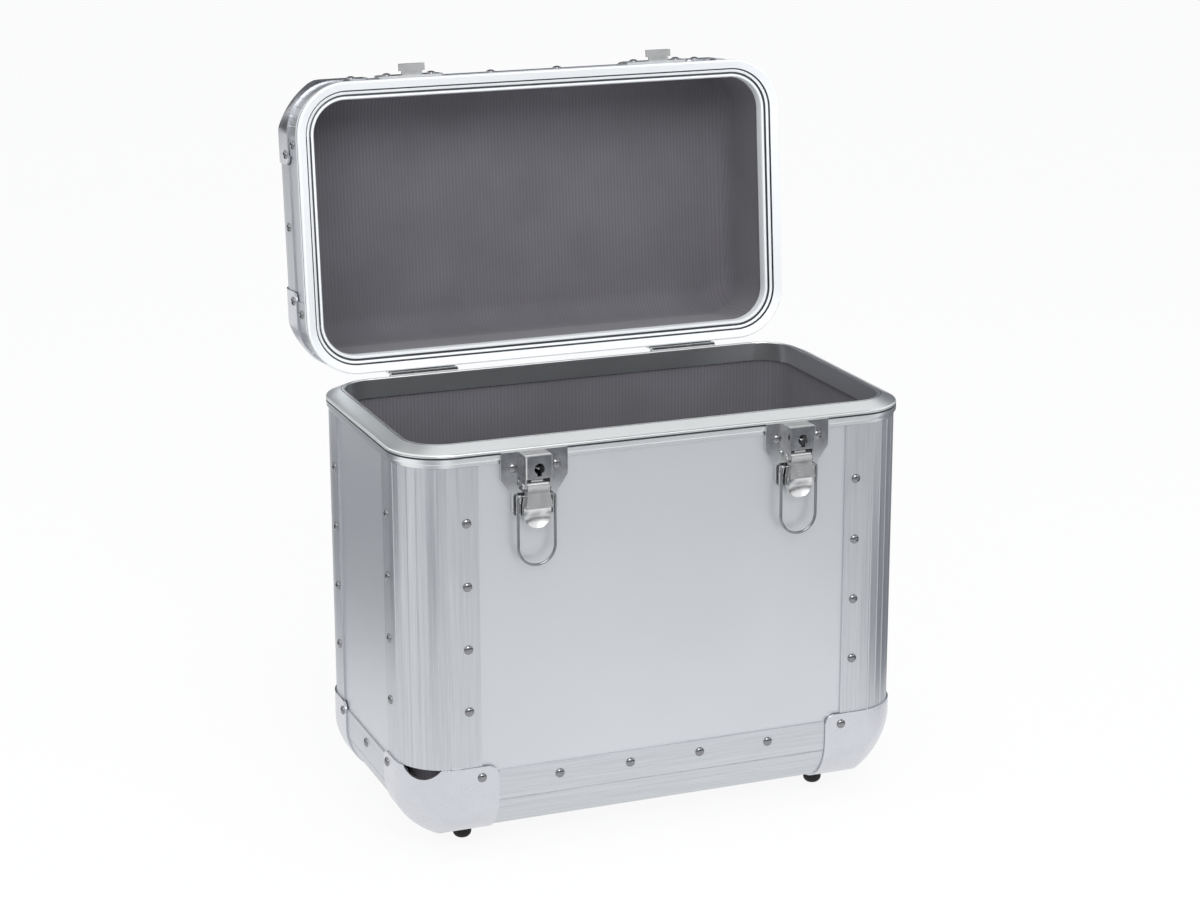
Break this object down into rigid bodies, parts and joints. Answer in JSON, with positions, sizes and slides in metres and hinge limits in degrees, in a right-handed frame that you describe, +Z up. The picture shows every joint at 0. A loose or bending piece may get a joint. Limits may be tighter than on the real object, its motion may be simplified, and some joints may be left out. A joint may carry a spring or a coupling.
{
  "type": "record carrying case",
  "caption": "Upright carrying case for records: ribbed aluminium edges, ball corners, draw latches with wire bails, lined body and a deep hinged lid.",
  "frame": {"origin": "centre of the footprint of the case with its lid open, on the surface it stands on", "axes": "+X across the case, -Y towards the latches, +Z up"},
  "size_m": [0.3682, 0.3332, 0.5001],
  "materials": {
    "panel": "plywood faced with satin aluminium sheet",
    "lining": "ribbed charcoal padded lining",
    "rubber": "matt black rubber",
    "grip": "moulded black grip, matt",
    "profile": "ribbed satin extrusion",
    "cap": "satin cast",
    "rim": "bright extrusion",
    "fitting": "polished nickel plate on steel"
  },
  "bodies": {
    "case_body": {"front_panel": "panel", "back_panel": "panel", "left_panel": "panel", "right_panel": "panel", "floor_panel": "panel", "corner_profile_front_left": "profile", "base_corner_front_left": "cap", "corner_profile_front_right": "profile", "base_corner_front_right": "cap", "corner_profile_back_left": "profile", "base_corner_back_left": "cap", "corner_profile_back_right": "profile", "base_corner_back_right": "cap", "base_profile_front": "profile", "base_profile_back": "profile", "base_profile_left": "profile", "base_profile_right": "profile", "rubber_feet": "rubber", "body_rim": "rim", "body_lining": "lining", "body_rivets": "fitting", "hinge_leaf_body_left": "fitting", "latch_base_left": "fitting", "hinge_leaf_body_right": "fitting", "latch_base_right": "fitting", "hinge_pins": "fitting", "latch_pins": "fitting"},
    "lid": {"lid_front_panel": "panel", "lid_back_panel": "panel", "lid_left_panel": "panel", "lid_right_panel": "panel", "lid_top_panel": "panel", "lid_corner_profile_front_left": "profile", "lid_corner_front_left": "cap", "lid_corner_profile_front_right": "profile", "lid_corner_front_right": "cap", "lid_corner_profile_back_left": "profile", "lid_corner_back_left": "cap", "lid_corner_profile_back_right": "profile", "lid_corner_back_right": "cap", "lid_profile_front": "profile", "lid_profile_back": "profile", "lid_profile_left": "profile", "lid_profile_right": "profile", "lid_rim": "rim", "lid_lining": "lining", "lid_rivets": "fitting", "hinge_leaf_lid_left": "fitting", "catch_left": "fitting", "handle_bracket_left": "fitting", "hinge_leaf_lid_right": "fitting", "catch_right": "fitting", "handle_bracket_right": "fitting"},
    "lever_left": {"latch_lever_left": "fitting"},
    "lever_right": {"latch_lever_right": "fitting"},
    "bail_left": {"latch_bail_left": "fitting"},
    "bail_right": {"latch_bail_right": "fitting"},
    "bolt_left": {"lock_bolt_left": "fitting"},
    "bolt_right": {"lock_bolt_right": "fitting"},
    "handle": {"handle_grip": "grip"}
  },
  "joints": [
    {"name": "lid_hinge", "type": "hinge", "parent": "case_body", "child": "lid", "pos_m": [0, 0.05389, 0.2837], "axis": [1, 0, 0], "range_deg": [0, 95]},
    {"name": "lever_left_hinge", "type": "hinge", "parent": "case_body", "child": "lever_left", "pos_m": [-0.0938, -0.16061, 0.2592], "axis": [-1, 0, 0], "range_deg": [0, 100]},
    {"name": "bail_left_hinge", "type": "hinge", "parent": "lever_left", "child": "bail_left", "pos_m": [-0.0938, -0.15981, 0.2522], "axis": [-1, 0, 0], "range_deg": [-6, 80]},
    {"name": "bolt_left_slide", "type": "slide", "parent": "case_body", "child": "bolt_left", "axis": [0, 0, -1], "range_m": [0, 0.003]},
    {"name": "lever_right_hinge", "type": "hinge", "parent": "case_body", "child": "lever_right", "pos_m": [0.0938, -0.16061, 0.2592], "axis": [-1, 0, 0], "range_deg": [0, 100]},
    {"name": "bail_right_hinge", "type": "hinge", "parent": "lever_right", "child": "bail_right", "pos_m": [0.0938, -0.15981, 0.2522], "axis": [-1, 0, 0], "range_deg": [-6, 80]},
    {"name": "bolt_right_slide", "type": "slide", "parent": "case_body", "child": "bolt_right", "axis": [0, 0, -1], "range_m": [0, 0.003]},
    {"name": "handle_hinge", "type": "hinge", "parent": "lid", "child": "handle", "pos_m": [0, 0.15911, 0.3814], "axis": [1, 0, 0], "range_deg": [-4.5, 170]}
  ]
}
